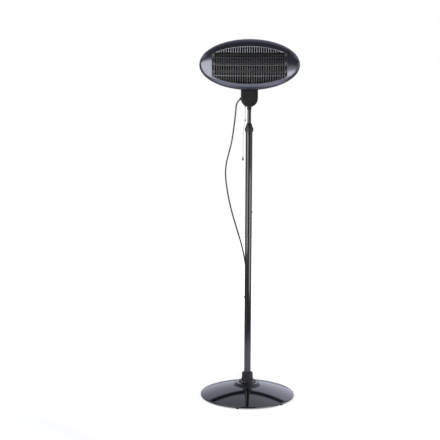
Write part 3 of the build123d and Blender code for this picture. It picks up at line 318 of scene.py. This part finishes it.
class HEATER_OT_stage(bpy.types.Operator):
    """Set the floor, the studio light and the camera"""

    bl_idname = "heater.stage"
    bl_label = "Stage"

    def execute(self, context):
        scene = context.scene
        scene.view_settings.view_transform = "Standard"
        self.camera(scene)
        self.floor(scene)
        self.world(scene)
        # Large soft box to the front left: the bright ear and the broad streak down the pole
        self.softbox(scene, "left_box", (-0.75, -0.669, 1.24), (-0.074, 0.068, 1.24), (1.09, 1.24), 15.9)
        # Its dim foot: a faint streak down the lower pole
        self.softbox(scene, "left_foot", (-0.676, -0.737, 0.37), (0, 0, 0.37), (0.89, 0.5), 0.5)
        # Low panel to the front right: the right ear, the second streak and a sheen on the base
        self.softbox(scene, "right_panel", (1.04, -0.94, 0.685), (0, 0, 0.685), (0.96, 0.83), 11.2)
        # Its dimmer top, which fades the streak out
        self.softbox(scene, "right_top", (1.04, -0.94, 1.3), (0, 0, 1.3), (0.96, 0.4), 1)
        # Dim wall to the right: the grey edge of the pole
        self.softbox(scene, "right_wall", (3, 0, 1), (0, 0, 1), (2, 2), 10)
        return {"FINISHED"}

    def camera(self, scene):
        seat = scene.heater_camera
        data = bpy.data.cameras.new("camera")
        data.lens = seat.lens
        camera = bpy.data.objects.new("camera", data)
        scene.collection.objects.link(camera)
        level = Matrix.Rotation(seat.yaw, 4, "Z") @ Matrix.Rotation(math.pi / 2 - seat.pitch, 4, "X")
        spot = Matrix.Translation((0, -seat.distance, seat.height))
        camera.matrix_world = spot @ level @ Matrix.Rotation(seat.roll, 4, "Z")
        scene.camera = camera

    def floor(self, scene):
        """A pale disc that keeps the soft shadow near the base and runs out into the white behind."""
        disc = bmesh.new()
        bmesh.ops.create_circle(disc, cap_ends=True, segments=64, radius=scene.heater_sizes.floor)
        floor = new_piece("floor", disc)
        material = bpy.data.materials.new("studio_floor")
        material.use_nodes = True
        tree = material.node_tree
        tree.nodes.clear()
        place = add(tree, "TexCoord", {}, {}).outputs["Object"]
        away = add(tree, "VectorMath", {"operation": "LENGTH"}, {0: place}).outputs["Value"]
        lift_span = {"From Min": 0.4, "From Max": 2.2, "To Min": 0.45, "To Max": 1.0}
        lift = add(tree, "MapRange", lift_span, {"Value": away}).outputs["Result"]
        # Painted light: a pool that glows on the floor for polished faces only, in front of the heater
        pool_span = {"From Min": 1.1, "From Max": 1.4, "To Min": 1.1, "To Max": 0.06}
        round_pool = add(tree, "MapRange", pool_span, {"Value": away}).outputs["Result"]
        depth = add(tree, "SeparateXYZ", {}, {"Vector": place}).outputs["Y"]
        front_span = {"From Min": 0.0, "From Max": 0.4, "To Min": 1.0, "To Max": 0.15}
        front = add(tree, "MapRange", front_span, {"Value": depth}).outputs["Result"]
        pool = add(tree, "Math", {"operation": "MULTIPLY"}, {0: round_pool, 1: front}).outputs[0]
        # Close round the base the painted glow fades out, so the floor stays dim in reflections, which
        # keeps the rim and the foot of the pole dark
        ring_span = {"From Min": 0.3, "From Max": 0.6, "To Min": 0.08}
        ring = add(tree, "MapRange", ring_span, {"Value": away}).outputs["Result"]
        pool = add(tree, "Math", {"operation": "MULTIPLY"}, {0: pool, 1: ring}).outputs[0]
        ray = add(tree, "LightPath", {}, {}).outputs
        lifted = {0: lift, 1: ray["Is Camera Ray"]}
        seen = add(tree, "Math", {"operation": "MULTIPLY"}, lifted).outputs[0]
        mirrored = {0: pool, 1: ray["Is Glossy Ray"], 2: seen}
        glow = add(tree, "Math", {"operation": "MULTIPLY_ADD"}, mirrored).outputs[0]
        # Polished faces see the floor's colour at half its tone, a painted shade in reflections only, and
        # a pool of light painted on it as a glow
        pale = scene.heater_colours.floor
        dim = {"data_type": "RGBA", 6: (*pale, 1), 7: (*shade(pale, 0.5), 1)}
        paint = add(tree, "Mix", dim, {0: ray["Is Glossy Ray"]}).outputs[2]
        matt = add(tree, "BsdfDiffuse", {}, {"Color": paint})
        white = add(tree, "Emission", {}, {"Color": studio_cast(tree, ray), "Strength": glow})
        both = add(tree, "AddShader", {}, {0: matt.outputs[0], 1: white.outputs[0]})
        add(tree, "OutputMaterial", {}, {"Surface": both.outputs[0]})
        wear(floor, material)

    def world(self, scene):
        """White to the camera; polished faces see a white sweep behind and a dim room in front."""
        world = bpy.data.worlds.new("studio")
        scene.world = world
        world.use_nodes = True
        tree = world.node_tree
        tree.nodes.clear()
        way = add(tree, "TexCoord", {}, {}).outputs["Generated"]
        axes = add(tree, "SeparateXYZ", {}, {"Vector": way}).outputs
        rise = add(tree, "Math", {"operation": "ARCTAN2"}, {0: axes["Z"], 1: axes["Y"]}).outputs[0]
        turn = add(tree, "Math", {"operation": "DIVIDE", 1: math.pi}, {0: rise}).outputs[0]
        bands = add(tree, "ValToRGB", {}, {"Fac": turn})
        self.ramp(bands.color_ramp, SWEEP_BANDS)
        # The sweep falls off to the left, so that side of the base is the darker one
        slant = {"From Min": -0.35, "From Max": 0.35, "To Min": 0.7, "To Max": 1.14}
        side = add(tree, "MapRange", slant, {"Value": axes["X"]}).outputs["Result"]
        tilted = {0: bands.outputs["Color"], 1: side}
        sweep = add(tree, "Math", {"operation": "MULTIPLY"}, tilted).outputs[0]
        ray = add(tree, "LightPath", {}, {}).outputs
        both = {0: ray["Is Glossy Ray"], 1: ray["Is Transmission Ray"]}
        mirror = add(tree, "Math", {"operation": "MAXIMUM"}, both).outputs[0]
        # Two long boxes overhead, left and right: the bright slant of the wires at the top of the grille
        aside = add(tree, "Math", {"operation": "ABSOLUTE"}, {0: axes["X"]}).outputs[0]
        beside_span = {"From Min": 0.72, "From Max": 0.85, "To Max": 1.2}
        beside = add(tree, "MapRange", beside_span, {"Value": aside}).outputs["Result"]
        above_span = {"From Min": 0.3, "From Max": 0.4}
        above = add(tree, "MapRange", above_span, {"Value": axes["Z"]}).outputs["Result"]
        boxes = add(tree, "Math", {"operation": "MULTIPLY"}, {0: beside, 1: above}).outputs[0]
        sweep = add(tree, "Math", {"operation": "MAXIMUM"}, {0: sweep, 1: boxes}).outputs[0]
        room = add(tree, "Mix", {"data_type": "FLOAT", 2: ROOM_LIGHT}, {0: mirror, 3: sweep}).outputs[0]
        to_camera = {0: ray["Is Camera Ray"], 2: room}
        level = add(tree, "Mix", {"data_type": "FLOAT", 3: 1.0}, to_camera).outputs[0]
        shine = add(tree, "Background", {}, {"Color": studio_cast(tree, ray), "Strength": level})
        add(tree, "OutputWorld", {}, {"Surface": shine.outputs[0]})

    def ramp(self, ramp, bands):
        """Grey levels at angles in degrees, from the back horizon over the top to the front horizon."""
        for stop, (_, level) in zip((ramp.elements[0], ramp.elements[-1]), (bands[0], bands[-1])):
            stop.color = (level, level, level, 1)
        for angle, level in bands[1:-1]:
            ramp.elements.new(angle / 180).color = (level, level, level, 1)

    def softbox(self, scene, name, place, target, size, power):
        data = bpy.data.lights.new(name, "AREA")
        data.shape = "RECTANGLE"
        data.size, data.size_y = size
        data.energy = power
        lamp = bpy.data.objects.new(name, data)
        scene.collection.objects.link(lamp)
        aim = Vector(target) - Vector(place)
        lamp.matrix_world = Matrix.Translation(place) @ aim.to_track_quat("-Z", "Y").to_matrix().to_4x4()
        lamp.visible_camera = False


class HEATER_OT_lead(bpy.types.Operator):
    """Hang the mains lead from the neck to its plug"""

    bl_idname = "heater.lead"
    bl_label = "Mains lead"

    def execute(self, context):
        sizes = context.scene.heater_sizes
        lead, path = cord_piece("lead", LEAD_ROUTE, sizes.lead)
        sheath = context.scene.heater_colours.rubber
        # PVC sheath: even black with a soft long gloss and a faint drawn grain
        wear(lead, surface("pvc_sheath", sheath, 0.7, 1.4, 0.02, (0.32, 0.46)))
        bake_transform(lead)
        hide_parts("mains_cable")
        return {"FINISHED"}


class HEATER_OT_pull_cord(bpy.types.Operator):
    """Hang the braided pull cord with its bead and bell knob"""

    bl_idname = "heater.pull_cord"
    bl_label = "Pull cord"

    def execute(self, context):
        sizes = context.scene.heater_sizes
        tone = context.scene.heater_colours.cord
        for name, node, route, share, ends in (
            ("pull_cord_top", "pull_string_upper", PULL_TOP_ROUTE, 0.35, ("fitting", ["string_bead"])),
            ("pull_cord_tail", "pull_string_lower", PULL_TAIL_ROUTE, 1, ("knot", ["pull_knob"])),
        ):
            piece, path = cord_piece(name, route, sizes.pull)
            # Braided nylon: matt, with the braid catching the light; the upper cord, from the switch to
            # the bead, is darker
            cord_tone = shade(tone, share)
            wear(piece, surface("braided_nylon", cord_tone, 0.6, 0.9, 0.15, (0.7, 0.85), (1, 1, 0.4)))
            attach(piece, "pull")
            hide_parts(node)
        return {"FINISHED"}


class HEATER_OT_coils(bpy.types.Operator):
    """Wind the heating coil in each quartz tube"""

    bl_idname = "heater.coils"
    bl_label = "Heating coils"

    def execute(self, context):
        sizes = context.scene.heater_sizes
        tone = linear(HEATING_WIRE)
        # Oxidised heating wire: dull brown-grey metal
        wire = surface("heating_wire", tone, 0.6, 2.0, 0.01, (0.5, 0.65), sockets=[METAL])
        for level in ("upper", "middle", "lower"):
            low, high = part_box(level + "_heating_core")
            coil = bmesh.new()
            section = bmesh.ops.create_circle(coil, segments=6, radius=sizes.coil_wire / 2)
            reach = (sizes.coil - sizes.coil_wire) / 2
            middle = (low + high) / 2
            start = (low.x, middle.y + reach, middle.z)
            bmesh.ops.translate(coil, verts=section["verts"], vec=start)
            turns = int((high.x - low.x) / sizes.coil_pitch)
            steps = turns * COIL_STEPS
            bmesh.ops.spin(
                coil,
                geom=section["verts"] + coil.edges[:],
                cent=(0, middle.y, middle.z),
                axis=(1, 0, 0),
                dvec=((high.x - low.x) / steps, 0, 0),
                angle=turns * 2 * math.pi,
                steps=steps,
            )
            bmesh.ops.holes_fill(coil, edges=[edge for edge in coil.edges if edge.is_boundary])
            bmesh.ops.recalc_face_normals(coil, faces=coil.faces)
            for face in coil.faces:
                face.smooth = True
            piece = new_piece(level + "_coil", coil)
            wear(piece, wire)
            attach(piece, "head")
            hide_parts(level + "_heating_core")
        return {"FINISHED"}


class HEATER_OT_finishes(bpy.types.Operator):
    """Give every CAD piece the finish of its real material"""

    bl_idname = "heater.finishes"
    bl_label = "Finishes"

    def execute(self, context):
        made = self.made(context.scene.heater_colours)
        for part in frame["record"]["subparts"]:
            wear(frame["nodes"][part["node"]], made[part["material_slot"]])
        return {"FINISHED"}

    def made(self, tones):
        dark_zinc = linear("2a2a2c")
        concrete = linear("8f8b84")
        fibre = linear("6b3a22")
        nickel = linear("c2beb4")
        coil = linear(HEATING_WIRE)
        return {
            # Gloss enamel on pressed steel: near black, mirror-like, with a faint orange peel
            "gloss_black_enamel": surface(
                "gloss_enamel",
                tones.enamel,
                0.8,
                7,
                0.012,
                (0.06, 0.1),
                sockets=[("Coat Weight", 0.6), ("Coat Roughness", 0.05)],
            ),
            # Semi-gloss paint on drawn tube: long clear streaks, fine orange peel
            "pole_paint": surface(
                "tube_paint",
                tones.pole,
                0.8,
                2.5,
                0.003,
                (0.14, 0.19),
                sockets=[("Coat Weight", 0.5), ("Coat Roughness", 0.1)],
            ),
            # Metallic paint: dark grey with a fine flake, satin sheen
            "grey_paint": surface(
                "metallic_paint",
                tones.head,
                0.55,
                1.2,
                0.02,
                (0.2, 0.27),
                sockets=[("Metallic", 0.9), ("Coat Weight", 0.2), ("Coat Roughness", 0.2)],
            ),
            # Satin black paint on the folded bracket
            "bracket_paint": surface("bracket_paint", tones.pole, 0.7, 1.8, 0.02, (0.35, 0.45)),
            # Moulded ABS with a fine spark-eroded grain
            "black_plastic": surface("moulded_abs", tones.plastic, 0.7, 1.1, 0.03, (0.4, 0.52)),
            "neck_plastic": surface(
                "grained_abs",
                tones.neck,
                0.7,
                1.4,
                0.05,
                (0.45, 0.58),
                sockets=[("Specular IOR Level", 0.35)],
            ),
            # White moulded plastic, slightly glossy
            "white_plastic": surface("white_abs", tones.white, 0.92, 2.0, 0.01, (0.25, 0.35)),
            "white_cord": surface("cord_core", tones.cord, 0.7, 0.9, 0.1, (0.7, 0.85)),
            # Soft rubber: dull black with bloom
            "cable_rubber": surface("cable_rubber", tones.rubber, 0.7, 1.4, 0.02, (0.4, 0.52)),
            "rubber": surface("foot_rubber", tones.rubber, 0.7, 1.6, 0.05, (0.7, 0.85)),
            # Cast concrete: pale, gritty, with pores
            "concrete": surface("cast_concrete", concrete, 0.6, 3.0, 0.4, (0.85, 0.95)),
            # Zinc plate on steel: cool silver with a soft mottle
            "zinc_steel": surface(
                "zinc_plate", tones.zinc, 0.75, 4.0, 0.01, (0.28, 0.42), sockets=[METAL]
            ),
            "dark_screw": surface(
                "blackened_steel", dark_zinc, 0.6, 1.2, 0.02, (0.3, 0.45), sockets=[METAL]
            ),
            "grille_steel": self.grille(tones.wire),
            # Rolled aluminium in a near-black tone, painted shade for the recess behind the tubes, with
            # lines drawn along the troughs
            "polished_aluminium": surface(
                "rolled_aluminium",
                tones.reflector,
                0.8,
                1.2,
                0.02,
                (0.18, 0.3),
                (0.02, 1, 1),
                [METAL],
            ),
            # Steatite: matt, speckled, in a grey-beige darker than its own off-white: painted shade on
            # the caps at the sides of the window
            "ceramic": surface("steatite", tones.ceramic, 0.8, 1.5, 0.05, (0.6, 0.75)),
            # Quartz in a dark tone, a painted shade for the tubes behind the grille: glassy, lets the
            # coil show as a shadow
            "quartz": surface(
                "dark_quartz",
                tones.quartz,
                0.85,
                6.0,
                0.01,
                (0.25, 0.4),
                (0.2, 1, 1),
                [("Transmission Weight", 0.8), ("IOR", 1.46)],
            ),
            "heating_wire": surface("coil_core", coil, 0.6, 2.0, 0.01, (0.5, 0.65), sockets=[METAL]),
            "plated_brass": surface(
                "nickel_plate", nickel, 0.85, 3.0, 0.01, (0.15, 0.28), sockets=[METAL]
            ),
            "fibre": surface("pressed_fibre", fibre, 0.6, 0.8, 0.05, (0.7, 0.85)),
        }

    def grille(self, plate):
        """Plated wire: a painted highlight along the top slant, painted grey shade in front of the tubes.
        """
        sheen = ("Metallic", 0.15)
        wire = surface("plated_wire", plate, 0.8, 3.0, 0.01, (0.3, 0.4), sockets=[sheen])
        tree = wire.node_tree
        shader = tree.nodes["Principled BSDF"]
        bright = shader.inputs["Base Color"].links[0].from_socket
        place = add(tree, "TexCoord", {}, {}).outputs["Object"]
        along = {"operation": "DOT_PRODUCT", 1: HEAD_UP}
        rise = add(tree, "VectorMath", along, {0: place}).outputs["Value"]
        span = {"From Min": SHADE_PAINTED_BELOW, "From Max": SHADE_PAINTED_BELOW + SHADE_PAINTED_EDGE}
        clear = add(tree, "MapRange", span, {"Value": rise}).outputs["Result"]
        deepening_span = {"From Min": SHADE_DEEPENS_SPAN[0], "From Max": SHADE_DEEPENS_SPAN[1]}
        height = add(tree, "MapRange", deepening_span, {"Value": rise}).outputs["Result"]
        low_tone, high_tone = (linear(code) for code in PAINTED_SHADE_TONES)
        shade_ends = {"data_type": "RGBA", 6: (*low_tone, 1), 7: (*high_tone, 1)}
        painted_shade = add(tree, "Mix", shade_ends, {0: height}).outputs[2]
        # Painted light: bright tone above the edge as a highlight, grey painted shade below it
        tone = add(tree, "Mix", {"data_type": "RGBA"}, {0: clear, 6: painted_shade, 7: bright}).outputs[2]
        tree.links.new(tone, shader.inputs["Base Color"])
        return wire


class HEATER_PT_panel(bpy.types.Panel):
    """The heater's pieces and their settings"""

    bl_idname = "HEATER_PT_panel"
    bl_label = "Patio heater"
    bl_space_type = "VIEW_3D"
    bl_region_type = "UI"
    bl_category = "Heater"

    def draw(self, context):
        for operator in OPERATORS:
            self.layout.operator(operator.bl_idname)
        scene = context.scene
        for group in (scene.heater_sizes, scene.heater_colours, scene.heater_camera):
            for name in group.bl_rna.properties.keys():
                if name not in ("name", "rna_type"):
                    self.layout.prop(group, name)


OPERATORS = (HEATER_OT_stage, HEATER_OT_lead, HEATER_OT_pull_cord, HEATER_OT_coils, HEATER_OT_finishes)
GROUPS = (HeaterColours, HeaterSizes, HeaterCamera)


def register():
    for kind in (*GROUPS, *OPERATORS, HEATER_PT_panel):
        bpy.utils.register_class(kind)
    bpy.types.Scene.heater_colours = PointerProperty(type=HeaterColours)
    bpy.types.Scene.heater_sizes = PointerProperty(type=HeaterSizes)
    bpy.types.Scene.heater_camera = PointerProperty(type=HeaterCamera)


def unregister():
    del bpy.types.Scene.heater_camera
    del bpy.types.Scene.heater_sizes
    del bpy.types.Scene.heater_colours
    for kind in (HEATER_PT_panel, *reversed(OPERATORS), *reversed(GROUPS)):
        bpy.utils.unregister_class(kind)


def main():
    register()
    bpy.ops.heater.stage()
    bpy.ops.heater.lead()
    bpy.ops.heater.pull_cord()
    bpy.ops.heater.finishes()
    bpy.ops.heater.coils()


if __name__ == "__main__":
    main()
